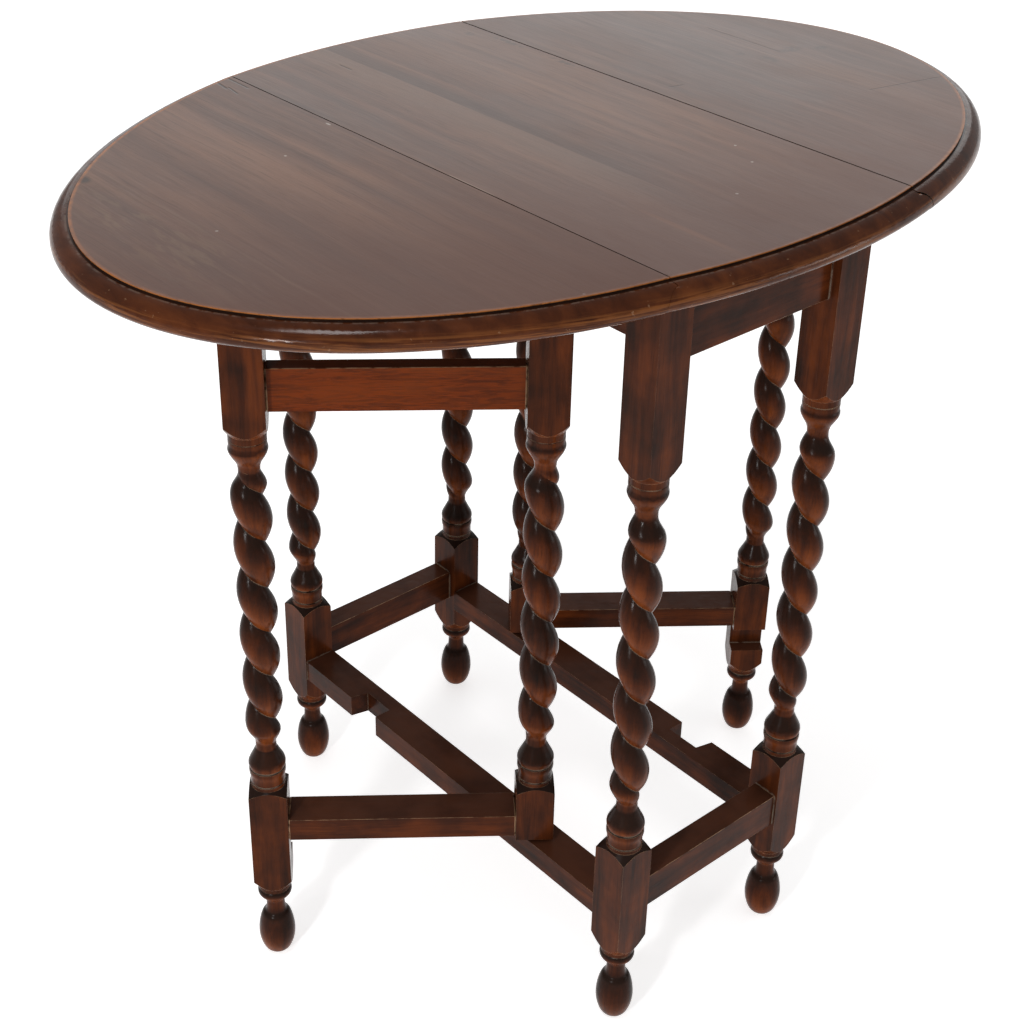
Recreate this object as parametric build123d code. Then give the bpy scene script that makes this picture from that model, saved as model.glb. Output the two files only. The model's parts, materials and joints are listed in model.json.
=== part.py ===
from build123d import *
import os
from math import cos, radians, sin, sqrt, tan

# Oval gateleg table with barley-twist legs, in millimetres.
# The origin is on the floor under the middle of the top, +Z is up, X runs along the leaf joints
# and Y runs across the two leaves.  The table is shown open: both leaves up, both gates swung out.
# Front is -Y, back is +Y, left is -X and right is +X.  The back half is the front half turned
# 180 degrees about Z, except for the start angle of each leg's twist.

os.makedirs("parts", exist_ok=True)

# ---------------------------------------------------------------- driving dimensions
TOP_HEIGHT = 730.0          # floor to the flat of the top
TOP_THICKNESS = 21.0
FIELD_HALF_X = 274.0        # flat field of the oval top, half sizes
FIELD_HALF_Y = 398.0
MOULDING_OUT = 15.0         # how far the edge moulding stands out beyond the flat field
JOINT_Y = 126.0             # the two leaf joints, from the middle
LEAF_DROOP = {"front": 2.1, "back": 1.1}   # degrees that each leaf sags below level on its gate
LEG_SPACING_X = 450.0       # between leg centres
LEG_SPACING_Y = 192.5
BLOCK = 32.8                # square section of the legs and gate posts
TWIST_PITCH = 44.4
GATE_LENGTH = 230.0         # gate post axis to gate leg axis
GATE_OPEN = 52.0            # degrees that each gate stands open
PIVOT_X = 116.5             # gate post axis of the front gate
PIVOT_Y = -98.5

# ---------------------------------------------------------------- heights of the turning
BEAD_RADIUS = 15.9
WAIST_RADIUS = 8.8          # where the twist starts and ends
TWIST_RADIUS = 16.2         # crest of the twist
TWIST_GROOVE = 6.8          # depth of the sharp groove that winds up it
TWIST_RAMP = 20.0           # length over which the twist swells from the waist
TWIST_STEPS = 51            # sections up the twist
TWIST_PARTS = 16            # points around each section
LOWER_BLOCK = (93.0, 192.0)
TWIST_BOTTOM = 239.3
UPPER_BLOCK_MAIN = 561.0    # underside of the top square on the main legs
UPPER_BLOCK_GATE = 552.5    # and on the gate members
UPPER_TURNING = 42.5        # from the end of the twist up to the top square
CORNER_RADIUS = BLOCK / sqrt(2)

# ---------------------------------------------------------------- rails and stretchers
RAIL_THICKNESS = 20.0
SIDE_RAIL_BOTTOM = 660.0
SIDE_RAIL_SETBACK = 5.0     # behind the outer faces of the legs
END_RAIL_BOTTOM = 642.0
END_RAIL_SETBACK = 8.5
STRETCHER_Z = (112.0, 134.0)
STRETCHER_WIDTH = 31.6
STRETCHER_SETBACK = 1.6
END_STRETCHER_Z = (123.5, 156.0)
END_STRETCHER_WIDTH = 22.8
END_STRETCHER_SETBACK = 2.5
GATE_RAIL_LOW_Z = (141.3, 163.5)
GATE_RAIL_LOW_WIDTH = 31.0
GATE_RAIL_HIGH_Z = (563.0, 600.0)
GATE_RAIL_HIGH_WIDTH = 15.0
TENON_LENGTH = 12.0
TENON_THICKNESS = 9.0
TENON_SHOULDER = 3.0        # shoulder above and below a tenon

# ---------------------------------------------------------------- gate pivots and lap joints
PIN_RADIUS = 6.0
PIN_CLEARANCE = 0.1
PIN_LENGTH = 16.0
POST_GAP_LOW = 3.0          # daylight under and over the post
POST_GAP_HIGH = 2.0
LAP_DEPTH = 14.0            # cut into the gate leg's inner face at the stretcher
LAP_MARGIN = 2.0            # above and below the stretcher
NOTCH_DEPTH = 17.0          # cut into the stretcher's outer face
NOTCH_HALF = 17.2
NOTCH_FLARE = 4.2           # slant of the notch wall farthest from the pivot
RAIL_NOTCH_GAP = 0.9
REST_GAP = 0.35             # between a leaf and the gate leg under it

# ---------------------------------------------------------------- rule joint and hinges
JOINT_GAP = {"front": 0.3, "back": 1.1}
QUIRK = 4.0                 # square shoulder at the top of the rule joint
HINGE_AXIS_Z = TOP_HEIGHT - TOP_THICKNESS + 3.5
RULE_RADIUS = TOP_HEIGHT - QUIRK - HINGE_AXIS_Z
HINGE_X = 175.0
HINGE_WIDTH = 38.0
FLAP = 2.0
FLAP_IN = 17.5              # centre-board flap, from the pin
FLAP_OUT = 36.0             # leaf flap, from the pin
KNUCKLE_RADIUS = 3.5
HINGE_PIN_RADIUS = 1.5
MIDDLE_KNUCKLE = 15.0
KNUCKLE_GAP = 0.3

UNDERSIDE = TOP_HEIGHT - TOP_THICKNESS
LEG_X = LEG_SPACING_X / 2
LEG_Y = LEG_SPACING_Y / 2
HALF = BLOCK / 2
HALF_TURN = Rotation(0, 0, 180)


def block(x, y, z):
    """A box given by its (low, high) extents along each axis."""
    size = [high - low for low, high in (x, y, z)]
    middle = [(low + high) / 2 for low, high in (x, y, z)]
    return Pos(*middle) * Box(*size)


def post_rod(radius, z, x=0.0, y=0.0):
    """An upright cylinder between the two heights in z."""
    return Pos(x, y, (z[0] + z[1]) / 2) * Cylinder(radius, z[1] - z[0])


def turned(*lines):
    """Revolves an outline of (radius, height) lines about the Z axis."""
    outline = Wire(Curve() + list(lines))
    return revolve(Plane.XZ * make_face(outline), Axis.Z)


# ================================================================ legs and gate posts
def foot_and_lower_block():
    """Pear foot, ring, square block and the beads above it, up to the waist of the twist."""
    low, high = LOWER_BLOCK
    foot = Spline((7.5, 0), (14.2, 9.5), (16.1, 27), (11.6, 45), (8.1, 59), tangents=((1, 0.5), (0, 1)))
    cove = ThreePointArc((8.1, 59), (9.3, 64), (12.7, 67))
    bead = ThreePointArc((12.7, 67), (15.1, 71.5), (13.3, 76))
    square = Polyline(
        (13.3, 76), (14.6, 77), (14.6, 80.5), (CORNER_RADIUS, low), (CORNER_RADIUS, high - 3.5),
    )
    beads = beads_above(high - 3.5)
    return turned(foot, cove, bead, square, *beads, *axis_lines(0, 7.5, TWIST_BOTTOM))


def beads_above(z):
    """From the top corner of the lower block, through two grooves and a bead, to the waist."""
    collar = Polyline(
        (CORNER_RADIUS, z), (14.7, z + 6), (14.7, z + 9.4), (13.7, z + 10.2), (14.7, z + 11),
        (14.8, z + 17.5), (15.5, z + 19.5), (15.8, z + 22), (15.6, z + 24.5), (14.3, z + 25.5), (15.4, z + 26.5),
    )
    cap = Spline(
        (15.4, z + 26.5), (BEAD_RADIUS, z + 30), (13.0, z + 37.5), (9.4, z + 45), (WAIST_RADIUS, TWIST_BOTTOM),
        tangents=((0.3, 1), (0, 1)),
    )
    return collar, cap


def axis_lines(z_low, low_radius, z_high):
    """Closes an outline from the waist back along the axis to its lowest radius."""
    back = Polyline((WAIST_RADIUS, z_high), (0, z_high), (0, z_low), (low_radius, z_low))
    return (back,)


def upper_block(square_z, top_z):
    """From the waist of the twist, through a bead and a collar, to the top of the upper square."""
    start = square_z - UPPER_TURNING
    swell = Spline(
        (WAIST_RADIUS, start), (9.6, start + 5), (12.9, start + 11), (15.7, start + 17), (15.0, start + 22),
        tangents=((0, 1), (-0.4, 1)),
    )
    collar = Polyline(
        (15.0, start + 22), (15.2, start + 24), (15.2, start + 26.7), (14.8, start + 27.1), (15.2, start + 27.5),
        (15.4, square_z - 9.5), (CORNER_RADIUS, square_z + 1), (CORNER_RADIUS, top_z),
        (0, top_z), (0, start), (WAIST_RADIUS, start),
    )
    return turned(swell, collar)


def lower_block_only(z_low):
    """The same square block without a foot, for a gate post that stands on the stretcher."""
    high = LOWER_BLOCK[1]
    square = Polyline((CORNER_RADIUS, z_low), (CORNER_RADIUS, high - 3.5))
    back = Polyline((WAIST_RADIUS, TWIST_BOTTOM), (0, TWIST_BOTTOM), (0, z_low), (CORNER_RADIUS, z_low))
    return turned(square, *beads_above(high - 3.5), back)


def twist_section(place, swell):
    """Outline of the twist at one height: bulging all round from one sharp groove on local +X."""
    points = []
    parameters = []
    for part in range(TWIST_PARTS + 1):
        around = radians(360 * part / TWIST_PARTS)
        full = TWIST_RADIUS - TWIST_GROOVE * (2 * part / TWIST_PARTS - 1) ** 2
        radius = WAIST_RADIUS + (full - WAIST_RADIUS) * swell
        points.append(Vector(radius * cos(around), radius * sin(around)))
        parameters.append(part / TWIST_PARTS)
    return place * make_face(Edge.make_spline(points, parameters=parameters))


def twist(z_low, z_high):
    """Left-handed barley twist: one sharp groove winding around the leg between the waists."""
    sections = []
    for step in range(TWIST_STEPS + 1):
        z = z_low + (z_high - z_low) * step / TWIST_STEPS
        swell = min(1.0, (z - z_low) / TWIST_RAMP, (z_high - z) / TWIST_RAMP)
        swell = swell * swell * (3 - 2 * swell)
        groove = radians(180 - 360 * (z - TWIST_BOTTOM) / TWIST_PITCH)
        place = Plane(origin=(0, 0, z), x_dir=(cos(groove), sin(groove), 0), z_dir=(0, 0, 1))
        at_waist = step in (0, TWIST_STEPS)
        sections.append(place * Circle(WAIST_RADIUS) if at_waist else twist_section(place, swell))
    return loft(sections)


MAIN_TWIST = twist(TWIST_BOTTOM, UPPER_BLOCK_MAIN - UPPER_TURNING)
GATE_TWIST = twist(TWIST_BOTTOM, UPPER_BLOCK_GATE - UPPER_TURNING)


def squared(z_low, z_high):
    return block((-HALF, HALF), (-HALF, HALF), (z_low, z_high))


def main_leg(twist_angle):
    top = UNDERSIDE
    turning = foot_and_lower_block() + upper_block(UPPER_BLOCK_MAIN, top)
    return (turning & squared(0, top)) + Rotation(0, 0, twist_angle) * MAIN_TWIST


def gate_leg(twist_angle, top):
    turning = foot_and_lower_block() + upper_block(UPPER_BLOCK_GATE, top)
    leg = (turning & squared(0, top)) + Rotation(0, 0, twist_angle) * GATE_TWIST
    lap_z = (STRETCHER_Z[0] - LAP_MARGIN, STRETCHER_Z[1] + LAP_MARGIN)
    leg -= block((-HALF, HALF), (HALF - LAP_DEPTH, HALF), lap_z)
    leg -= block((-HALF, HALF), (0, HALF), (SIDE_RAIL_BOTTOM - LAP_MARGIN, top))
    return leg


def gate_post(twist_angle):
    low = STRETCHER_Z[1] + POST_GAP_LOW
    high = SIDE_RAIL_BOTTOM - POST_GAP_HIGH
    turning = lower_block_only(low) + upper_block(UPPER_BLOCK_GATE, high)
    post = (turning & squared(low, high)) + Rotation(0, 0, twist_angle) * GATE_TWIST
    post += post_rod(PIN_RADIUS, (low - POST_GAP_LOW - PIN_LENGTH, low))
    post += post_rod(PIN_RADIUS, (high, high + POST_GAP_HIGH + PIN_LENGTH))
    return post


# ================================================================ rails with tenons
def rail_along_x(half_length, y, z, tenon_y):
    """A rail between two blocks along X, with a tenon on each end."""
    tenon_z = (z[0] + TENON_SHOULDER, z[1] - TENON_SHOULDER)
    body = block((-half_length, half_length), y, z)
    tongue = block(
        (-half_length - TENON_LENGTH, half_length + TENON_LENGTH),
        (tenon_y - TENON_THICKNESS / 2, tenon_y + TENON_THICKNESS / 2),
        tenon_z,
    )
    return body + tongue


def along_y(rail):
    """Turns a rail made along X so that it runs along Y, its outer face toward +X."""
    return Rotation(0, 0, 90) * rail


side_half = LEG_X - HALF
end_half = LEG_Y - HALF
side_face = LEG_Y + HALF
end_face = LEG_X + HALF


def outer_band(face, setback, thickness):
    """Extent of a front rail or stretcher across its thickness (negative Y side)."""
    return (-face + setback, -face + setback + thickness)


def side_rail():
    y = outer_band(side_face, SIDE_RAIL_SETBACK, RAIL_THICKNESS)
    rail = rail_along_x(side_half, y, (SIDE_RAIL_BOTTOM, UNDERSIDE), sum(y) / 2)
    closed_x = PIVOT_X - GATE_LENGTH
    notch_x = (closed_x - HALF - 2, closed_x + HALF + 2)
    rail -= block(notch_x, (y[0], PIVOT_Y + RAIL_NOTCH_GAP), (SIDE_RAIL_BOTTOM, UNDERSIDE))
    pin_top = SIDE_RAIL_BOTTOM + PIN_LENGTH + 0.5
    rail -= post_rod(PIN_RADIUS + PIN_CLEARANCE, (SIDE_RAIL_BOTTOM, pin_top), PIVOT_X, PIVOT_Y)
    return rail


def side_stretcher():
    y = outer_band(side_face, STRETCHER_SETBACK, STRETCHER_WIDTH)
    rail = rail_along_x(side_half, y, STRETCHER_Z, sum(y) / 2)
    middle = PIVOT_X - GATE_LENGTH
    notch = Polyline(
        (middle - NOTCH_HALF - NOTCH_FLARE, y[0]), (middle + NOTCH_HALF, y[0]),
        (middle + NOTCH_HALF, y[0] + NOTCH_DEPTH), (middle - NOTCH_HALF, y[0] + NOTCH_DEPTH),
        (middle - NOTCH_HALF - NOTCH_FLARE, y[0]),
    )
    rail -= Pos(0, 0, STRETCHER_Z[0]) * extrude(make_face(notch), STRETCHER_Z[1] - STRETCHER_Z[0])
    pin_bottom = STRETCHER_Z[1] - PIN_LENGTH - 0.5
    rail -= post_rod(PIN_RADIUS + PIN_CLEARANCE, (pin_bottom, STRETCHER_Z[1]), PIVOT_X, PIVOT_Y)
    return rail


def end_rail():
    y = outer_band(end_face, END_RAIL_SETBACK, RAIL_THICKNESS)
    return along_y(rail_along_x(end_half, y, (END_RAIL_BOTTOM, UNDERSIDE), sum(y) / 2))


def end_stretcher():
    y = outer_band(end_face, END_STRETCHER_SETBACK, END_STRETCHER_WIDTH)
    return along_y(rail_along_x(end_half, y, END_STRETCHER_Z, sum(y) / 2))


def gate_rail(z, width):
    """A gate rail in the closed gate: from the post at the origin to the leg on the -X side."""
    half_length = (GATE_LENGTH - BLOCK) / 2
    return Pos(-GATE_LENGTH / 2, 0, 0) * rail_along_x(half_length, (-width / 2, width / 2), z, 0)


# ================================================================ oval top with rule joints
def oval(grow, z):
    """The oval at height z, grown outward from the flat field."""
    return Plane(origin=(0, 0, z)) * Ellipse(FIELD_HALF_Y + grow, FIELD_HALF_X + grow, rotation=90)


def oval_slab(grow, z_low, z_high):
    return extrude(oval(grow, z_low), z_high - z_low)


def moulded_oval():
    """Flat field, a square quirk, a thumbnail moulding and a rounded lower edge."""
    quirk_z = TOP_HEIGHT - 2.4
    widest_z = UNDERSIDE + 7.0
    thumb_in = 2.0
    thumb_drop = quirk_z - widest_z
    thumb_out = MOULDING_OUT - thumb_in
    steps = [radians(angle) for angle in (0, 15, 30, 45, 60, 75, 90)]
    thumb = [oval(thumb_in + thumb_out * cos(a), widest_z + thumb_drop * sin(a)) for a in steps]
    lower_drop = widest_z - UNDERSIDE
    lower_in = 10.0
    lower = [oval(MOULDING_OUT - lower_in * (1 - cos(a)), widest_z - lower_drop * sin(a)) for a in steps]
    top = oval_slab(0, quirk_z - 1, TOP_HEIGHT)
    return top + loft(thumb) + loft(lower[::-1])


def rule_outline(edge, radius, side):
    """The curved part of a rule joint on one side: shoulder, quarter round, and down to below."""
    meet = HINGE_AXIS_Z + sqrt(radius ** 2 - (edge - JOINT_Y) ** 2)
    middle = (JOINT_Y + radius * cos(radians(45)), HINGE_AXIS_Z + radius * sin(radians(45)))
    shoulder = Line((side * edge, TOP_HEIGHT + 1), (side * edge, meet))
    outer = side * (JOINT_Y + radius)
    quarter = ThreePointArc((side * edge, meet), (side * middle[0], middle[1]), (outer, HINGE_AXIS_Z))
    drop = Line((outer, HINGE_AXIS_Z), (outer, UNDERSIDE - 1))
    return shoulder, quarter, drop


def long_prism(lines):
    """Extrudes an outline in the YZ plane along the whole top."""
    face = make_face(Wire(Curve() + list(lines)))
    reach = FIELD_HALF_X + MOULDING_OUT + 5
    return extrude(Plane.YZ * face, reach, both=True)


def centre_prism():
    right = rule_outline(JOINT_Y, RULE_RADIUS, 1)
    left = rule_outline(JOINT_Y, RULE_RADIUS, -1)
    outer = JOINT_Y + RULE_RADIUS
    floor_line = Line((outer, UNDERSIDE - 1), (-outer, UNDERSIDE - 1))
    roof_line = Line((-JOINT_Y, TOP_HEIGHT + 1), (JOINT_Y, TOP_HEIGHT + 1))
    return long_prism([*right, floor_line, *left, roof_line])


def leaf_prism(gap):
    """A leaf's side of the rule joint, at the back; the front leaf is turned half round later."""
    edge = JOINT_Y + gap
    cove = rule_outline(edge, RULE_RADIUS + gap, 1)
    inner = JOINT_Y + RULE_RADIUS + gap
    far = FIELD_HALF_Y + MOULDING_OUT + 5
    rest = Polyline((inner, UNDERSIDE - 1), (far, UNDERSIDE - 1), (far, TOP_HEIGHT + 1), (edge, TOP_HEIGHT + 1))
    return long_prism([*cove, rest])


# ================================================================ rule-joint hinges, at the back joint
def hinge_parts(x):
    """Top flap, leaf flap, pin and the screws of one hinge; the leaf is level here."""
    half = HINGE_WIDTH / 2
    mid = MIDDLE_KNUCKLE / 2
    clear = KNUCKLE_RADIUS + 0.3
    plate_z = (UNDERSIDE, UNDERSIDE + FLAP)
    axis = Pos(x, JOINT_Y, HINGE_AXIS_Z) * Rotation(0, 90, 0)
    bore = axis * Cylinder(HINGE_PIN_RADIUS + 0.05, HINGE_WIDTH + 2)
    barrel = axis * Cylinder(KNUCKLE_RADIUS, HINGE_WIDTH)
    inside = block((x - mid, x + mid), (JOINT_Y - 9, JOINT_Y + 9), (UNDERSIDE, HINGE_AXIS_Z + 9))
    wide = mid + KNUCKLE_GAP
    inside_wide = block((x - wide, x + wide), (JOINT_Y - 9, JOINT_Y + 9), (UNDERSIDE - 1, HINGE_AXIS_Z + 9))
    top_flap = block((x - half, x + half), (JOINT_Y - FLAP_IN, JOINT_Y - clear), plate_z)
    top_neck = block((x - half, x + half), (JOINT_Y - clear, JOINT_Y), plate_z) - inside_wide
    top_flap += top_neck + (barrel - inside_wide)
    leaf_flap = block((x - half, x + half), (JOINT_Y + clear, JOINT_Y + FLAP_OUT), plate_z)
    leaf_neck = block((x - mid, x + mid), (JOINT_Y, JOINT_Y + clear), plate_z)
    leaf_flap += leaf_neck + (barrel & inside)
    pin = axis * Cylinder(HINGE_PIN_RADIUS, HINGE_WIDTH)
    top_screws = [flat_screw(x + dx, JOINT_Y - 12.3) for dx in (-13, 13)]
    leaf_screws = [flat_screw(x + dx, JOINT_Y + dy) for dx, dy in ((-13, 22), (13, 22), (0, 30))]
    for screw in top_screws:
        top_flap -= screw
    for screw in leaf_screws:
        leaf_flap -= screw
    return top_flap - bore, leaf_flap - bore, pin, top_screws, leaf_screws


def flat_screw(x, y):
    """A countersunk wood screw driven upward, its head flush with the underside of the flap."""
    head = Pos(x, y, UNDERSIDE + 1) * Cone(3.4, 1.7, 2)
    return head + post_rod(1.7, (UNDERSIDE + 2, UNDERSIDE + 13), x, y)


def hinge_housings(x):
    """Pockets in the centre board: for the top flap, the knuckles and the swing of the leaf flap."""
    half = HINGE_WIDTH / 2 + 0.4
    flap = block((x - half, x + half), (JOINT_Y - FLAP_IN, JOINT_Y), (UNDERSIDE, UNDERSIDE + FLAP))
    slot_y = (JOINT_Y - KNUCKLE_RADIUS - 0.7, JOINT_Y + KNUCKLE_RADIUS + 0.7)
    knuckles = block((x - half, x + half), slot_y, (UNDERSIDE, HINGE_AXIS_Z + KNUCKLE_RADIUS + 0.7))
    swing = block((x - half, x + half), (JOINT_Y, JOINT_Y + RULE_RADIUS + 1), (UNDERSIDE, UNDERSIDE + FLAP + 0.7))
    return flap + knuckles + swing


def fixing_screw(x, y):
    """A wood screw up through a rail into the centre board, its head deep in a counterbore."""
    return post_rod(4.5, (677, 680), x, y) + post_rod(2.4, (680, UNDERSIDE + 12), x, y)


def fixing_bore(x, y, z_low):
    return post_rod(5.0, (z_low, 680), x, y) + post_rod(2.4, (680, UNDERSIDE + 12), x, y)


# ================================================================ assembly
nodes = {}
leg_places = {
    "front_right": (LEG_X, -LEG_Y, 337),
    "back_right": (LEG_X, LEG_Y, 331),
    "front_left": (-LEG_X, -LEG_Y, 8),
    "back_left": (-LEG_X, LEG_Y, 209),
}
# The last number is where the twist points at this height, in degrees from +X.
TWIST_READ_HEIGHT = 370.0
TWIST_START = 360 * (TWIST_READ_HEIGHT - TWIST_BOTTOM) / TWIST_PITCH

stretcher_front = side_stretcher()
rail_front = side_rail()
side_fixings = [(x, -side_face + SIDE_RAIL_SETBACK + RAIL_THICKNESS / 2) for x in (-170, 20, 170)]
end_fixings = [(end_face - END_RAIL_SETBACK - RAIL_THICKNESS / 2, 0)]
for x, y in side_fixings:
    rail_front -= fixing_bore(x, y, SIDE_RAIL_BOTTOM)
rail_right = end_rail()
for x, y in end_fixings:
    rail_right -= fixing_bore(x, y, END_RAIL_BOTTOM)
stretcher_right = end_stretcher()

nodes["side_stretcher_front"] = stretcher_front
nodes["side_stretcher_back"] = HALF_TURN * stretcher_front
nodes["side_rail_front"] = rail_front
nodes["side_rail_back"] = HALF_TURN * rail_front
nodes["end_rail_right"] = rail_right
nodes["end_rail_left"] = HALF_TURN * rail_right
nodes["end_stretcher_right"] = stretcher_right
nodes["end_stretcher_left"] = HALF_TURN * stretcher_right
frame_rails = list(nodes.values())

for place, (x, y, angle) in leg_places.items():
    leg = Pos(x, y, 0) * main_leg(angle + TWIST_START)
    for rail in frame_rails:
        leg -= rail
    nodes[f"leg_{place}"] = leg

# Centre board, its hinges and its fixing screws.
whole_top = moulded_oval()
centre = whole_top & centre_prism()
leaves = {name: whole_top & leaf_prism(gap) for name, gap in JOINT_GAP.items()}
fixings = []
for x, y in side_fixings + end_fixings:
    fixings += [fixing_screw(x, y), HALF_TURN * fixing_screw(x, y)]
for screw in fixings:
    centre -= screw
nodes["top_fixing_screws"] = Compound(children=[s.solid() for s in fixings])


def sagged(shape, leaf_name):
    """Takes a level back-leaf shape to its resting place on the front or the back leaf."""
    droop = Rotation(-LEAF_DROOP[leaf_name], 0, 0)
    down = Pos(0, JOINT_Y, HINGE_AXIS_Z) * droop * Pos(0, -JOINT_Y, -HINGE_AXIS_Z)
    resting = down * shape
    return HALF_TURN * resting if leaf_name == "front" else resting


# Gate geometry: made closed, with the post at the origin, then set down open.
gate_leg_y = -PIVOT_Y + GATE_LENGTH * sin(radians(GATE_OPEN))
farthest_y = gate_leg_y + CORNER_RADIUS
gate_top = {
    name: UNDERSIDE - (farthest_y - JOINT_Y) * tan(radians(droop)) - REST_GAP
    for name, droop in LEAF_DROOP.items()
}
open_gate = Pos(PIVOT_X, PIVOT_Y, 0) * Rotation(0, 0, GATE_OPEN)

# A stop block under each leaf, against the outer side of the open gate leg (back leaf's place).
STOP = (46.0, 12.0, 13.0)
stop_offset = HALF + STOP[1] / 2 + 0.8
stop_block = block((-STOP[0] / 2, STOP[0] / 2), (-STOP[1] / 2, STOP[1] / 2), (UNDERSIDE - STOP[2], UNDERSIDE))
stop = HALF_TURN * open_gate * Pos(-GATE_LENGTH, -stop_offset, 0) * stop_block

top_screws = []
leaf_screws = []
for side, x in (("left", -HINGE_X), ("right", HINGE_X)):
    across = "right" if side == "left" else "left"
    top_flap, leaf_flap, pin, in_centre, in_leaf = hinge_parts(x)
    housing = hinge_housings(x)
    for cut in [housing] + in_centre:
        centre -= cut
        centre -= HALF_TURN * cut
    for cut in [leaf_flap] + in_leaf:
        for name in leaves:
            leaves[name] -= cut
    nodes[f"hinge_back_{side}_top_flap"] = top_flap
    nodes[f"hinge_front_{across}_top_flap"] = HALF_TURN * top_flap
    nodes[f"hinge_back_{side}_pin"] = pin
    nodes[f"hinge_front_{across}_pin"] = HALF_TURN * pin
    nodes[f"hinge_back_{side}_leaf_flap"] = sagged(leaf_flap, "back")
    nodes[f"hinge_front_{across}_leaf_flap"] = sagged(leaf_flap, "front")
    top_screws += [screw.solid() for screw in in_centre]
    top_screws += [(HALF_TURN * screw).solid() for screw in in_centre]
    leaf_screws += in_leaf

nodes["top_centre"] = centre
nodes["hinge_screws_top"] = Compound(children=top_screws)
for name in LEAF_DROOP:
    nodes[f"leaf_{name}"] = sagged(leaves[name], name)
    nodes[f"leaf_stop_{name}"] = sagged(stop, name)
    nodes[f"hinge_screws_leaf_{name}"] = Compound(children=[sagged(screw, name).solid() for screw in leaf_screws])

# The two gates.  The angles are where each twist points at the reading height, in the open gate.
gate_twists = {"front": (93, 139), "back": (186, 185)}
low_rail = gate_rail(GATE_RAIL_LOW_Z, GATE_RAIL_LOW_WIDTH)
high_rail = gate_rail(GATE_RAIL_HIGH_Z, GATE_RAIL_HIGH_WIDTH)
for gate, (leg_angle, post_angle) in gate_twists.items():
    turned_by = GATE_OPEN if gate == "front" else GATE_OPEN + 180
    place = open_gate if gate == "front" else HALF_TURN * open_gate
    leg = Pos(-GATE_LENGTH, 0, 0) * gate_leg(leg_angle + TWIST_START - turned_by, gate_top[gate])
    post = gate_post(post_angle + TWIST_START - turned_by)
    for rail in (low_rail, high_rail):
        leg -= rail
        post -= rail
    nodes[f"gate_{gate}_leg"] = place * leg
    nodes[f"gate_{gate}_post"] = place * post
    nodes[f"gate_{gate}_bottom_rail"] = place * low_rail
    nodes[f"gate_{gate}_top_rail"] = place * high_rail

for name, shape in nodes.items():
    export_step(shape, f"parts/{name}.step")
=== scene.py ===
import json
import math
import bpy
from mathutils import Euler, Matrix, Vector


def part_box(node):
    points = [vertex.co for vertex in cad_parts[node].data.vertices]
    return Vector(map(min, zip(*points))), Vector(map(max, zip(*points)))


# Looks of the oval gateleg table.  Metres, the CAD's own frame: origin on the floor under the
# middle of the top, +Z up, X along the leaf joints, front leaf toward -Y.
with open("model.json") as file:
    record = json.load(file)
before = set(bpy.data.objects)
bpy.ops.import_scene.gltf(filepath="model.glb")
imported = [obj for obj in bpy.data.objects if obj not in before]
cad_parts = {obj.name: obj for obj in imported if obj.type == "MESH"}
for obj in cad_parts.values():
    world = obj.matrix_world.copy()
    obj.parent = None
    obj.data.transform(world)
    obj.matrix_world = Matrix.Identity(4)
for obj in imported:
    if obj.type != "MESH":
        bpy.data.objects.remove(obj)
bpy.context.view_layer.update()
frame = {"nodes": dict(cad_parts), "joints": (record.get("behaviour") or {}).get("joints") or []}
nodes = frame["nodes"]

# ---------------------------------------------------------------- sizes
# The CAD's own measures that the frame does not hold: how far the moulding stands out beyond the
# flat of the top, the droop of each leaf at rest, and the angle of the open gates.
MOULDING_OUT = 0.015
FRONT_DROOP = math.radians(2.1)
BACK_DROOP = math.radians(1.1)
GATE_ANGLE = math.radians(52)

# Read from the frame: height of the flat, its half-lengths, and the leaf joints' distance from
# the middle.
TOP_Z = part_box("top_centre")[1].z
FIELD_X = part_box("top_centre")[1].x - MOULDING_OUT
FIELD_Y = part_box("leaf_back")[1].y - MOULDING_OUT
JOINT_Y = abs(frame["joints"][2]["pos_m"][1])

# Modifiers on the CAD meshes.
WELD_DISTANCE = 1e-5
SHARP_ANGLE = math.radians(32)
ARRIS_SEGMENTS = 2
TOP_ARRIS = 0.0005
LEG_ARRIS = 0.0009
RAIL_ARRIS = 0.0011
WORN_SLOT = 1

# Node-tree details: samples of a corner mask, the fading ends of a scratch, and the sockets of
# a Mix node that are for colours.
CORNER_SAMPLES = 6
SCRATCH_FADE = 0.002
MIX_COLOUR_INPUTS = (0, 6, 7)
MIX_COLOUR_OUTPUT = 2


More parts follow.
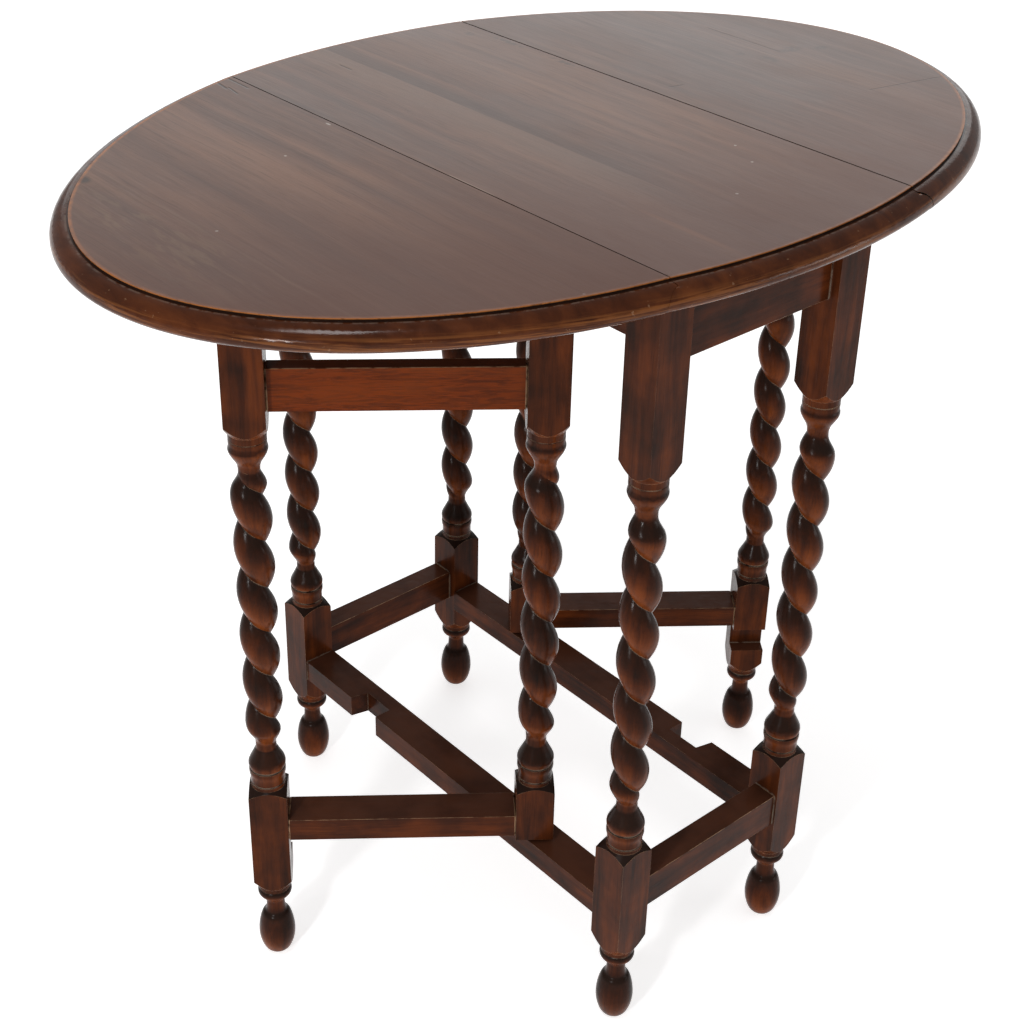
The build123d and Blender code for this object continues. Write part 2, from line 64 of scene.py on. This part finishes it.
# ================================================================ node-tree helper
class Paint:
    """Builds one procedural material; its masks, sums and colours are output sockets."""

    def __init__(self, name):
        self.material = bpy.data.materials.new(name)
        self.material.use_nodes = True
        self.tree = self.material.node_tree
        self.tree.nodes.clear()
        self.shader = self.tree.nodes.new("ShaderNodeBsdfPrincipled")
        output = self.tree.nodes.new("ShaderNodeOutputMaterial")
        self.tree.links.new(self.shader.outputs[0], output.inputs["Surface"])
        self.object = self.tree.nodes.new("ShaderNodeTexCoord").outputs["Object"]

    def plug(self, socket, value):
        if isinstance(value, bpy.types.NodeSocket):
            self.tree.links.new(value, socket)
        elif isinstance(value, (tuple, list)) and len(value) == 3 and socket.type == "RGBA":
            socket.default_value = (*value, 1.0)
        else:
            socket.default_value = value

    def set(self, name, value):
        self.plug(self.shader.inputs[name], value)

    def math(self, operation, a, b=0.0):
        n = self.tree.nodes.new("ShaderNodeMath")
        n.operation = operation
        for socket, value in zip(n.inputs, (a, b)):
            self.plug(socket, value)
        return n.outputs[0]

    def mul(self, a, b):
        return self.math("MULTIPLY", a, b)

    def add(self, a, b):
        return self.math("ADD", a, b)

    def sub(self, a, b):
        return self.math("SUBTRACT", a, b)

    def both(self, *values):
        """The masks multiplied: 1 only where every one of them is 1."""
        out = values[0]
        for value in values[1:]:
            out = self.mul(out, value)
        return out

    def either(self, *values):
        """The largest of the masks at each place."""
        out = values[0]
        for value in values[1:]:
            out = self.math("MAXIMUM", out, value)
        return out

    def step(self, value, low, high, out_low=0.0, out_high=1.0):
        """Smooth step of value between low and high; low may be above high."""
        n = self.tree.nodes.new("ShaderNodeMapRange")
        n.interpolation_type = "SMOOTHSTEP"
        for socket, v in zip(n.inputs, (value, low, high, out_low, out_high)):
            self.plug(socket, v)
        return n.outputs[0]

    def scale(self, vector, by):
        return self.vector("MULTIPLY", vector, by)

    def vector(self, operation, a, b):
        n = self.tree.nodes.new("ShaderNodeVectorMath")
        n.operation = operation
        for socket, value in zip(n.inputs, (a, b)):
            self.plug(socket, value)
        return n.outputs[0]

    def turned(self, vector, angle):
        """Coordinates turned about Z."""
        n = self.tree.nodes.new("ShaderNodeVectorRotate")
        n.rotation_type = "Z_AXIS"
        n.inputs["Angle"].default_value = angle
        self.plug(n.inputs["Vector"], vector)
        return n.outputs[0]

    def split(self, vector):
        n = self.tree.nodes.new("ShaderNodeSeparateXYZ")
        self.plug(n.inputs[0], vector)
        return n.outputs

    def join(self, x, y, z):
        n = self.tree.nodes.new("ShaderNodeCombineXYZ")
        for socket, value in zip(n.inputs, (x, y, z)):
            self.plug(socket, value)
        return n.outputs[0]

    def noise(self, vector, scale, detail, rough, warp=0.0):
        n = self.tree.nodes.new("ShaderNodeTexNoise")
        self.plug(n.inputs["Vector"], vector)
        n.inputs["Scale"].default_value = scale
        n.inputs["Detail"].default_value = detail
        n.inputs["Roughness"].default_value = rough
        n.inputs["Distortion"].default_value = warp
        return n.outputs["Fac"]

    def mix(self, fac, a, b):
        """Colour a where fac is 0 and colour b where it is 1."""
        n = self.tree.nodes.new("ShaderNodeMix")
        n.data_type = "RGBA"
        for index, value in zip(MIX_COLOUR_INPUTS, (fac, a, b)):
            self.plug(n.inputs[index], value)
        return n.outputs[MIX_COLOUR_OUTPUT]

    def tint(self, colour, mask, amount, over):
        """Lays the colour over another one where the mask is 1, by the amount."""
        return self.mix(self.mul(mask, amount), colour, over)

    def ramp(self, value, *stops):
        """Colours at the given positions, each stop a (position, colour) pair."""
        n = self.tree.nodes.new("ShaderNodeValToRGB")
        while len(n.color_ramp.elements) < len(stops):
            n.color_ramp.elements.new(0.5)
        for element, (position, colour) in zip(n.color_ramp.elements, stops):
            element.position = position
            element.color = (*colour, 1.0)
        self.plug(n.inputs[0], value)
        return n.outputs[0]

    def corners(self, distance):
        """1 in the open, down to 0 deep in a corner or a groove."""
        n = self.tree.nodes.new("ShaderNodeAmbientOcclusion")
        n.samples = CORNER_SAMPLES
        n.inputs["Distance"].default_value = distance
        return n.outputs["AO"]

    def facing_up(self):
        """Z of the surface's normal: 1 on a level face, -1 on an underside."""
        n = self.tree.nodes.new("ShaderNodeNewGeometry")
        return self.split(n.outputs["Normal"])[2]

    def piece_number(self):
        return self.tree.nodes.new("ShaderNodeObjectInfo").outputs["Random"]

    def spot(self, x, y, centre, radii, soft=0.35):
        """1 inside an ellipse, fading out over its soft border."""
        dx = self.mul(self.sub(x, centre[0]), 1 / radii[0])
        dy = self.mul(self.sub(y, centre[1]), 1 / radii[1])
        away = self.math("SQRT", self.add(self.mul(dx, dx), self.mul(dy, dy)))
        return self.step(away, 1 + soft, 1 - soft)

    def line(self, x, y, start, end, width):
        """1 along a straight scratch from start to end."""
        run = (end[0] - start[0], end[1] - start[1])
        length = math.hypot(*run)
        dx = self.sub(x, start[0])
        dy = self.sub(y, start[1])
        along = self.add(self.mul(dx, run[0] / length), self.mul(dy, run[1] / length))
        across = self.add(self.mul(dx, -run[1] / length), self.mul(dy, run[0] / length))
        begun = self.step(along, -SCRATCH_FADE, SCRATCH_FADE)
        not_over = self.step(along, length + SCRATCH_FADE, length - SCRATCH_FADE)
        on_line = self.step(self.math("ABSOLUTE", across), width, width * 0.3)
        return self.both(begun, not_over, on_line)

    def bump(self, height, distance, strength):
        n = self.tree.nodes.new("ShaderNodeBump")
        n.inputs["Strength"].default_value = strength
        n.inputs["Distance"].default_value = distance
        self.plug(n.inputs["Height"], height)
        self.plug(self.shader.inputs["Normal"], n.outputs[0])


# ================================================================ dark stained wood
DEEP = (0.012, 0.0058, 0.0038)
BROWN = (0.035, 0.0098, 0.0044)
WARM = (0.082, 0.0190, 0.0052)
DUST = (0.260, 0.2050, 0.1600)
WORN = (0.420, 0.2500, 0.1400)


def stained_wood(name, grain_axis, turn=0.0, underside_light_and_wear=0.5, figure=0.0, worn=False):
    """Old dark-stained wood.  grain_axis is 0, 1 or 2 after turning the coordinates about Z."""
    p = Paint(name)
    # Each piece is cut from another part of the same wood.
    shift = p.mul(p.piece_number(), 7.0)
    place = p.turned(p.object, turn) if turn else p.object
    place = p.vector("ADD", place, p.join(shift, shift, shift))
    along = [1.0, 1.0, 1.0]
    fine = [1.0, 1.0, 1.0]
    along[grain_axis] = 0.10
    fine[grain_axis] = 0.035
    streak = p.noise(p.scale(place, along), 90.0, 4.0, 0.6, 0.4)
    fibre = p.noise(p.scale(place, fine), 900.0, 3.0, 0.65)
    cloud = p.noise(place, 22.0, 3.0, 0.55)
    mottle = p.noise(place, 75.0, 3.0, 0.6, 0.5)
    up = p.facing_up()

    tone = p.add(p.mul(streak, 0.5), p.mul(cloud, 0.5))
    colour = p.ramp(tone, (0.36, DEEP), (0.50, BROWN), (0.64, WARM))
    # Undersides of the turnings are painted a brighter red-brown: partly wear, partly painted light from
    # below.
    lit_and_worn_undersides = p.both(p.step(up, 0.22, -0.30), p.step(cloud, 0.32, 0.60, 0.5, 1.0))
    orange = p.ramp(streak, (0.35, (0.066, 0.0155, 0.0046)), (0.62, (0.160, 0.0380, 0.0080)))
    colour = p.tint(colour, lit_and_worn_undersides, underside_light_and_wear, orange)
    if figure:
        ring = p.noise(p.scale(place, along), 420.0, 3.0, 0.6, 1.2)
        bright = p.step(ring, 0.36, 0.62, 0.35, 1.0)
        colour = p.tint(colour, bright, figure, (0.175, 0.0300, 0.0040))
    colour = p.mix(p.step(fibre, 0.56, 0.70, 0.0, 0.40), colour, DEEP)
    # Upward slopes are darker; level faces are reddish.
    darker_upslopes = p.both(p.step(up, 0.10, 0.55), p.step(up, 0.995, 0.93), p.step(cloud, 0.20, 0.60, 0.55, 0.95))
    colour = p.mix(darker_upslopes, colour, (0.018, 0.0105, 0.0080))
    level = p.both(p.step(up, 0.95, 0.99), p.step(cloud, 0.25, 0.60, 0.50, 0.85))
    colour = p.mix(level, colour, (0.095, 0.0340, 0.0180))
    # Corners are darkened with painted shade and grime, and tight grooves hold pale dust.
    open_air = p.corners(0.008)
    colour = p.mix(p.step(open_air, 0.75, 0.30, 0.0, 0.35), colour, DEEP)
    tight = p.corners(0.0022)
    dusty = p.both(p.step(tight, 0.80, 0.50), p.step(mottle, 0.36, 0.54))
    colour = p.tint(colour, dusty, 0.75, DUST)
    if worn:
        rubbed = p.step(mottle, 0.36, 0.58, 0.10, 0.90)
        colour = p.mix(rubbed, colour, WORN)
    p.set("Base Color", colour)
    p.set("Roughness", p.step(mottle, 0.25, 0.75, 0.14, 0.27))
    p.set("Specular IOR Level", 0.055)
    relief = p.add(p.mul(fibre, 0.25), p.add(p.mul(streak, 0.5), p.mul(mottle, 0.9)))
    p.bump(relief, 0.0005, 0.55)
    return p.material


# ================================================================ the top boards
def beyond_oval(p, x, y):
    """Signed distance outward from the flat field's oval edge."""
    ex = p.mul(x, 1 / FIELD_X)
    ey = p.mul(y, 1 / FIELD_Y)
    e = p.math("SQRT", p.add(p.mul(ex, ex), p.mul(ey, ey)))
    gx = p.mul(ex, 1 / FIELD_X)
    gy = p.mul(ey, 1 / FIELD_Y)
    gradient = p.math("SQRT", p.add(p.mul(gx, gx), p.mul(gy, gy)))
    return p.math("DIVIDE", p.mul(e, p.sub(e, 1.0)), gradient)


def depth_below_flat(p, y, z):
    """Depth below the flat of the top, which sags a little beyond each leaf joint."""
    past_front = p.math("MAXIMUM", p.sub(p.mul(y, -1.0), JOINT_Y), 0.0)
    past_back = p.math("MAXIMUM", p.sub(y, JOINT_Y), 0.0)
    sag_front = p.mul(past_front, math.tan(FRONT_DROOP))
    sag_back = p.mul(past_back, math.tan(BACK_DROOP))
    return p.sub(p.sub(TOP_Z, z), p.add(sag_front, sag_back))


# Marks on the flat, all in the top's own metres, x and y.
BOARD_SEAMS_Y = (-0.0200, -0.1850)
LIGHT_LINE_Y = -0.315
KNOT = (-0.148, -0.332)
# Start, end and width of each scratch or split.
SCRATCHES = (
    ((-0.256, -0.1440), (-0.236, -0.1465), 0.0016),
    ((-0.238, -0.1435), (-0.220, -0.1465), 0.0012),
    ((-0.256, -0.1320), (-0.225, -0.1325), 0.0014),
    ((-0.226, -0.0370), (-0.209, -0.0372), 0.0009),
    ((0.097, 0.2800), (0.111, 0.3600), 0.0007),
    ((-0.110, 0.3005), (-0.020, 0.2995), 0.0009),
    ((-0.008, 0.1450), (-0.006, 0.1600), 0.0009),
)
# Centre, radii and softness of each dark water stain.
WET_STAINS = (
    ((-0.112, 0.1200), (0.015, 0.0028), 0.6),
    ((-0.185, 0.1200), (0.020, 0.0032), 0.6),
    ((-0.225, 0.1080), (0.005, 0.0035), 0.6),
    ((-0.012, 0.2750), (0.009, 0.0050), 0.7),
    ((-0.020, 0.3120), (0.006, 0.0120), 0.7),
    ((-0.007, 0.3400), (0.004, 0.0060), 0.7),
    ((-0.037, 0.2650), (0.003, 0.0040), 0.6),
)
# Centre and radii of each pale dot.
PALE_DOTS = (
    ((0.189, 0.0150), (0.0012, 0.0012)),
    ((0.153, 0.0710), (0.0011, 0.0011)),
    ((0.121, 0.0870), (0.0012, 0.0010)),
    ((0.240, -0.1850), (0.0012, 0.0010)),
    ((-0.083, -0.1940), (0.0012, 0.0010)),
    ((-0.003, -0.3080), (0.0012, 0.0012)),
    ((-0.114, -0.1310), (0.0030, 0.0010)),
)


def flat_wood():
    """The flat of the top: sun-faded brown boards with the marks of long use, and a painted sheen."""
    p = Paint("top_flat_faded_painted_sheen")
    place = p.object
    x, y, z = p.split(place)
    out = beyond_oval(p, x, y)
    waver = p.noise(p.scale(place, (9.0, 2.0, 1.0)), 1.0, 3.0, 0.55)
    wavy_y = p.add(y, p.mul(p.sub(waver, 0.5), 0.010))
    flow = p.join(x, wavy_y, z)
    bands = p.noise(p.scale(flow, (0.8, 16.0, 1.0)), 1.0, 3.0, 0.55, 0.2)
    veins = p.noise(p.scale(flow, (3.0, 85.0, 20.0)), 1.0, 4.0, 0.6, 0.4)
    fibre = p.noise(p.scale(flow, (24.0, 1000.0, 200.0)), 1.0, 3.0, 0.65)
    cloud = p.noise(p.scale(place, (6.0, 11.0, 6.0)), 1.0, 4.0, 0.6, 0.3)
    speck = p.noise(place, 160.0, 3.0, 0.6)
    pits = p.noise(p.scale(place, (1.0, 2.2, 1.0)), 420.0, 2.0, 0.5)
    tone = p.add(p.mul(bands, 0.34), p.add(p.mul(veins, 0.36), p.mul(cloud, 0.30)))
    colour = p.ramp(
        tone,
        (0.36, (0.074, 0.0330, 0.0210)),
        (0.50, (0.128, 0.0580, 0.0350)),
        (0.63, (0.200, 0.0960, 0.0560)),
    )
    colour = p.mix(p.step(fibre, 0.54, 0.70, 0.0, 0.45), colour, (0.036, 0.0190, 0.0130))
    colour = p.mix(p.step(fibre, 0.42, 0.30, 0.0, 0.30), colour, (0.200, 0.1150, 0.0720))
    # The right-hand end is painted redder, standing in for the weaker sheen there.
    red = p.both(p.step(x, 0.00, 0.24), p.step(cloud, 0.30, 0.60, 0.6, 1.0))
    colour = p.tint(colour, red, 0.70, (0.118, 0.0360, 0.0130))

    # Glued boards: lighter beside the seams, a thin dark line at each.
    pale = p.both(p.step(y, -0.070, -0.026), p.step(y, -0.0195, -0.0210), p.step(x, 0.190, 0.060))
    colour = p.tint(colour, pale, 0.38, (0.210, 0.1250, 0.0820))
    shade = p.both(p.step(y, -0.0205, -0.0190), p.step(y, 0.004, -0.012), p.step(x, 0.200, 0.060))
    colour = p.tint(colour, shade, 0.40, (0.050, 0.0240, 0.0160))
    for seam_y in BOARD_SEAMS_Y:
        seam = p.step(p.math("ABSOLUTE", p.sub(wavy_y, seam_y)), 0.0009, 0.0002)
        colour = p.tint(colour, seam, 0.35, (0.034, 0.0170, 0.0110))
    on_line = p.step(p.math("ABSOLUTE", p.sub(wavy_y, LIGHT_LINE_Y)), 0.0016, 0.0004)
    light_line = p.both(on_line, p.step(veins, 0.35, 0.55))
    colour = p.tint(colour, light_line, 0.5, (0.230, 0.1400, 0.0900))
    stripe = p.spot(x, y, (0.215, -0.062), (0.045, 0.0028), 0.5)
    colour = p.tint(colour, stripe, 0.5, (0.230, 0.0850, 0.0330))

    # Figure in the front leaf, and its knot.
    curl = p.noise(p.scale(place, (30.0, 190.0, 1.0)), 1.0, 3.0, 0.6, 0.6)
    figure = p.both(p.spot(x, y, (-0.015, -0.345), (0.110, 0.028), 0.5), p.step(curl, 0.48, 0.60))
    colour = p.tint(colour, figure, 0.38, (0.210, 0.1300, 0.0700))
    knot_ring = p.spot(x, y, KNOT, (0.014, 0.008), 0.4)
    colour = p.tint(colour, knot_ring, 0.45, (0.160, 0.0750, 0.0380))
    knot = p.spot(x, y, KNOT, (0.0075, 0.0050), 0.45)
    colour = p.tint(colour, knot, 0.85, (0.022, 0.0110, 0.0080))

    # Stains, scratches and splits.
    dark_lines = p.either(*[p.line(x, y, *scratch) for scratch in SCRATCHES])
    colour = p.tint(colour, dark_lines, 0.85, (0.020, 0.0110, 0.0080))
    wet = p.either(*[p.spot(x, y, *stain) for stain in WET_STAINS])
    colour = p.mix(p.both(wet, p.step(speck, 0.36, 0.52), 0.62), colour, (0.030, 0.0160, 0.0110))
    ring_stain = p.spot(x, y, (0.080, 0.2350), (0.013, 0.0125), 0.5)
    colour = p.tint(colour, ring_stain, 0.25, (0.050, 0.0270, 0.0190))
    dots = p.either(*[p.spot(x, y, *dot) for dot in PALE_DOTS])
    colour = p.tint(colour, dots, 0.7, (0.480, 0.4300, 0.3900))
    joint_chip = p.line(x, y, (0.030, -0.1252), (0.080, -0.1252), 0.0008)
    colour = p.tint(colour, joint_chip, 0.6, (0.330, 0.2300, 0.1700))
    colour = p.mix(p.step(pits, 0.66, 0.72, 0.0, 0.35), colour, (0.030, 0.0170, 0.0120))

    # The arris is rubbed to orange.
    rubbed = p.both(p.step(out, -0.0030, -0.0008), p.step(speck, 0.35, 0.60, 0.45, 1.0))
    colour = p.tint(colour, rubbed, 0.90, (0.400, 0.1400, 0.0400))
    # Painted sheen: the near right part is painted deeper red, as if it reflected less, and the far part
    # paler and greyer, as if it reflected more.
    near = p.both(p.step(p.sub(x, p.mul(y, 0.7)), 0.02, 0.34), p.step(cloud, 0.28, 0.62, 0.7, 1.0))
    colour = p.tint(colour, near, 0.68, (0.070, 0.0160, 0.0040))
    far = p.step(p.sub(y, p.mul(x, 0.6)), 0.00, 0.40)
    colour = p.tint(colour, far, 0.25, (0.150, 0.1050, 0.0900))

    p.set("Base Color", colour)
    dull = p.step(cloud, 0.3, 0.7, 0.375, 0.415)
    p.set("Roughness", p.add(dull, p.step(fibre, 0.35, 0.65, -0.02, 0.02)))
    p.set("Specular IOR Level", 0.5)
    grain = p.add(p.mul(fibre, 0.25), p.add(p.mul(veins, 0.3), p.mul(speck, 0.35)))
    p.bump(p.sub(grain, p.mul(dark_lines, 1.5)), 0.0003, 0.5)
    return p.material


def rim_wood():
    """The moulded edge: a painted shadow in the quirk; red-brown and glossy on the thumb, with gold
    streaks that are partly wear, partly painted highlight.
    """
    p = Paint("top_moulding_polished")
    place = p.object
    x, y, z = p.split(place)
    out = beyond_oval(p, x, y)
    deep = depth_below_flat(p, y, z)
    streak = p.noise(p.scale(place, (22.0, 70.0, 90.0)), 1.0, 4.0, 0.6, 0.4)
    cloud = p.noise(place, 14.0, 3.0, 0.6)
    speck = p.noise(place, 180.0, 3.0, 0.6)
    colour = p.ramp(
        p.add(p.mul(streak, 0.55), p.mul(cloud, 0.45)),
        (0.32, (0.026, 0.0075, 0.0032)),
        (0.49, (0.052, 0.0140, 0.0048)),
        (0.66, (0.088, 0.0240, 0.0068)),
    )
    long_streak = p.noise(p.scale(place, (14.0, 14.0, 420.0)), 1.0, 4.0, 0.65, 0.2)
    # Gold streaks low on the thumb: partly worn wood, partly a painted highlight.
    gold_wear_and_highlight = p.both(p.step(deep, 0.0050, 0.0120), p.step(long_streak, 0.44, 0.60))
    colour = p.tint(colour, gold_wear_and_highlight, 0.50, (0.230, 0.0820, 0.0230))
    # Painted shadow darkens the quirk.
    quirk = p.both(p.step(out, 0.0026, 0.0010), p.step(deep, 0.0036, 0.0020))
    colour = p.tint(colour, quirk, 0.90, (0.010, 0.0060, 0.0045))
    arris = p.both(
        p.step(deep, 0.0012, 0.0004), p.step(speck, 0.30, 0.50, 0.5, 1.0), p.step(out, -0.0030, -0.0012),
    )
    colour = p.tint(colour, arris, 0.90, (0.420, 0.1500, 0.0430))
    # Within the oval only the walls of the joints have this material, and they are dark.
    colour = p.mix(p.step(out, -0.0015, -0.0035), colour, (0.016, 0.0090, 0.0065))
    ledge_dust = p.both(
        p.step(out, 0.0014, 0.0022), p.step(out, 0.0042, 0.0026), p.step(deep, 0.0040, 0.0030),
    )
    colour = p.mix(p.both(ledge_dust, p.step(speck, 0.40, 0.60), 0.40), colour, (0.170, 0.1300, 0.1050))
    bruise = p.both(p.step(speck, 0.68, 0.72), p.step(deep, 0.0020, 0.0050))
    colour = p.tint(colour, bruise, 0.40, (0.260, 0.1500, 0.0850))
    p.set("Base Color", colour)
    p.set("Roughness", p.step(streak, 0.3, 0.7, 0.12, 0.24))
    p.set("Specular IOR Level", 0.11)
    p.bump(p.add(p.mul(long_streak, 0.5), p.mul(speck, 0.25)), 0.0004, 0.5)
    return p.material


def metal(name, colour, rough):
    """Dull old metal with rusty specks."""
    p = Paint(name)
    grain = p.noise(p.object, 260.0, 4.0, 0.65)
    spots = p.noise(p.object, 70.0, 3.0, 0.6)
    base = p.mix(p.step(spots, 0.42, 0.66), colour, tuple(0.35 * c for c in colour))
    base = p.mix(p.step(grain, 0.60, 0.75), base, (0.120, 0.0500, 0.0220))
    p.set("Base Color", base)
    p.set("Metallic", 0.85)
    p.set("Roughness", p.step(grain, 0.2, 0.8, rough - 0.1, rough + 0.15))
    p.bump(grain, 0.0002, 0.5)
    return p.material


# ================================================================ materials on the CAD nodes
top = flat_wood()
rim = rim_wood()
underside = stained_wood("top_underside_dusty", 0, underside_light_and_wear=0.1)
legs = stained_wood("turned_legs_stained", 2, underside_light_and_wear=0.85)
legs_edge = stained_wood("turned_legs_worn_edge", 2, underside_light_and_wear=0.6, worn=True)
along_x = stained_wood("rails_x_stained", 0, underside_light_and_wear=0.5)
along_y = stained_wood("rails_y_stained", 1, underside_light_and_wear=0.5)
gate_low = stained_wood("gate_rails_stained", 0, turn=-GATE_ANGLE, underside_light_and_wear=0.5)
gate_high = stained_wood("gate_top_rails_stained", 0, turn=-GATE_ANGLE, underside_light_and_wear=0.8, figure=0.75)
edge_x = stained_wood("rails_x_worn_edge", 0, underside_light_and_wear=0.5, worn=True)
edge_y = stained_wood("rails_y_worn_edge", 1, underside_light_and_wear=0.5, worn=True)
gate_edge = stained_wood("gate_rails_worn_edge", 0, turn=-GATE_ANGLE, underside_light_and_wear=0.5, worn=True)
iron = metal("hinge_iron_dull", (0.11, 0.10, 0.095), 0.5)
steel = metal("screw_steel_dull", (0.30, 0.28, 0.26), 0.4)


def geometry_group(name, *kinds):
    """A geometry node group with nodes of the given kinds in a row, and those nodes."""
    group = bpy.data.node_groups.new(name, "GeometryNodeTree")
    group.interface.new_socket("Geometry", in_out="INPUT", socket_type="NodeSocketGeometry")
    group.interface.new_socket("Geometry", in_out="OUTPUT", socket_type="NodeSocketGeometry")
    chain = [group.nodes.new(kind) for kind in ("NodeGroupInput", *kinds, "NodeGroupOutput")]
    for first, second in zip(chain, chain[1:]):
        group.links.new(first.outputs[0], second.inputs[0])
    return group, chain[1:-1]


def compare(group, socket, operation, limit):
    n = group.nodes.new("FunctionNodeCompare")
    n.operation = operation
    n.inputs["B"].default_value = limit
    group.links.new(socket, n.inputs["A"])
    return n.outputs[0]


def logic(group, operation, a, b):
    n = group.nodes.new("FunctionNodeBooleanMath")
    n.operation = operation
    group.links.new(a, n.inputs[0])
    group.links.new(b, n.inputs[1])
    return n.outputs[0]


def smooth_group():
    """Geometry nodes that weld a CAD mesh and smooth it, except across sharp edges."""
    group, (weld, smooth_faces, smooth_edges) = geometry_group(
        "weld_and_smooth",
        "GeometryNodeMergeByDistance", "GeometryNodeSetShadeSmooth", "GeometryNodeSetShadeSmooth",
    )
    weld.inputs["Distance"].default_value = WELD_DISTANCE
    smooth_faces.domain = "FACE"
    smooth_faces.inputs["Shade Smooth"].default_value = True
    smooth_edges.domain = "EDGE"
    angle = group.nodes.new("GeometryNodeInputMeshEdgeAngle")
    flat_enough = compare(group, angle.outputs[0], "LESS_THAN", SHARP_ANGLE)
    group.links.new(flat_enough, smooth_edges.inputs["Shade Smooth"])
    return group


def top_materials_group():
    """Geometry nodes that give the moulding and the underside of the top their own materials."""
    group, (set_rim, set_underside) = geometry_group(
        "top_faces", "GeometryNodeSetMaterial", "GeometryNodeSetMaterial",
    )
    set_rim.inputs["Material"].default_value = rim
    set_underside.inputs["Material"].default_value = underside
    normal = group.nodes.new("ShaderNodeSeparateXYZ")
    group.links.new(group.nodes.new("GeometryNodeInputNormal").outputs[0], normal.inputs[0])
    up = normal.outputs[2]
    on_oval = group.nodes.new("ShaderNodeVectorMath")
    on_oval.operation = "MULTIPLY"
    on_oval.inputs[1].default_value = (1 / FIELD_X, 1 / FIELD_Y, 0)
    group.links.new(group.nodes.new("GeometryNodeInputPosition").outputs[0], on_oval.inputs[0])
    length = group.nodes.new("ShaderNodeVectorMath")
    length.operation = "LENGTH"
    group.links.new(on_oval.outputs[0], length.inputs[0])
    radius = length.outputs["Value"]

    outside = compare(group, radius, "GREATER_THAN", 1.0)
    sloping = compare(group, up, "LESS_THAN", 0.98)
    group.links.new(logic(group, "OR", outside, sloping), set_rim.inputs["Selection"])
    within = compare(group, radius, "LESS_THAN", 1.01)
    downward = compare(group, up, "LESS_THAN", -0.3)
    group.links.new(logic(group, "AND", within, downward), set_underside.inputs["Selection"])
    return group


SMOOTH = smooth_group()
TOP_FACES = top_materials_group()


def soften(node, width, worn=False):
    """Welds and smooths a CAD mesh and rounds its arrises, all as modifiers."""
    node.modifiers.new("smooth", "NODES").node_group = SMOOTH
    bevel = node.modifiers.new("arris", "BEVEL")
    bevel.width = width
    bevel.segments = ARRIS_SEGMENTS
    bevel.limit_method = "ANGLE"
    bevel.angle_limit = SHARP_ANGLE
    bevel.use_clamp_overlap = True
    if worn:
        bevel.material = WORN_SLOT
    weighted = node.modifiers.new("normals", "WEIGHTED_NORMAL")
    weighted.keep_sharp = True


def paint(node, *materials):
    node.data.materials.clear()
    for material in materials:
        node.data.materials.append(material)


for name, node in nodes.items():
    if name in ("top_centre", "leaf_front", "leaf_back"):
        paint(node, top, rim, underside)
        node.modifiers.new("faces", "NODES").node_group = TOP_FACES
        soften(node, TOP_ARRIS)
    elif "screw" in name:
        paint(node, steel)
    elif name.startswith("hinge"):
        paint(node, iron)
    elif name.startswith("leg_") or name.endswith("_post") or name in ("gate_front_leg", "gate_back_leg"):
        paint(node, legs, legs_edge)
        soften(node, LEG_ARRIS, worn=True)
    else:
        if name.startswith("end_"):
            paint(node, along_y, edge_y)
        elif name.endswith("top_rail"):
            paint(node, gate_high, gate_edge)
        elif name.endswith("bottom_rail"):
            paint(node, gate_low, gate_edge)
        else:
            paint(node, along_x, edge_x)
        soften(node, RAIL_ARRIS, worn=True)


# ================================================================ floor, light and camera
FLOOR_REACH = 12.0
WHITE = (1.0, 1.0, 1.0, 1.0)


def floor_and_world():
    mesh = bpy.data.meshes.new("floor")
    corners = [(FLOOR_REACH * sx, FLOOR_REACH * sy, 0) for sx, sy in ((-1, -1), (1, -1), (1, 1), (-1, 1))]
    mesh.from_pydata(corners, [], [(0, 1, 2, 3)])
    floor = bpy.data.objects.new("floor", mesh)
    bpy.context.scene.collection.objects.link(floor)
    p = Paint("floor_pale")
    p.set("Base Color", (0.90, 0.90, 0.90))
    p.set("Roughness", 0.9)
    p.set("Specular IOR Level", 0.1)
    p.set("Emission Color", WHITE)
    p.set("Emission Strength", 0.64)
    mesh.materials.append(p.material)

    world = bpy.data.worlds.new("studio")
    bpy.context.scene.world = world
    world.use_nodes = True
    background = world.node_tree.nodes["Background"]
    background.inputs["Color"].default_value = WHITE
    background.inputs["Strength"].default_value = 0.40


def area_light(name, place, aim, size, power):
    """A white rectangular lamp; the camera does not see it."""
    lamp = bpy.data.lights.new(name, "AREA")
    lamp.shape = "RECTANGLE"
    lamp.size, lamp.size_y = size
    lamp.energy = power
    holder = bpy.data.objects.new(name, lamp)
    holder.location = place
    holder.rotation_euler = (Vector(aim) - Vector(place)).to_track_quat("-Z", "Y").to_euler()
    holder.visible_camera = False
    bpy.context.scene.collection.objects.link(holder)


floor_and_world()
area_light("high_box", (0.2, -0.9, 2.6), (0, 0, 0.5), (0.5, 0.5), 17)
area_light("window", (0.72, -1.75, 0.98), (0, 0, 0.4), (0.13, 0.16), 11)
area_light("back_panel", (-2.6, 2.2, 1.50), (0, 0, 0.73), (3.8, 1.3), 20)
area_light("side_strip", (1.45, 1.20, 0.45), (0.3, 0.0, 0.7), (0.7, 0.25), 3)

# Fitted to the straight edges, block corners and feet of the table.
camera = bpy.data.objects.new("camera", bpy.data.cameras.new("camera"))
camera.location = (0.98964, -0.91549, 1.22270)
camera.rotation_euler = Euler([math.radians(angle) for angle in (60.253, -0.642, 49.731)])
camera.data.lens = 62.74
camera.data.shift_x = 0.03125
camera.data.shift_y = -0.0801
camera.data.clip_start = 0.05
camera.data.clip_end = 60
bpy.context.scene.collection.objects.link(camera)
bpy.context.scene.camera = camera
bpy.context.scene.view_settings.view_transform = "Standard"
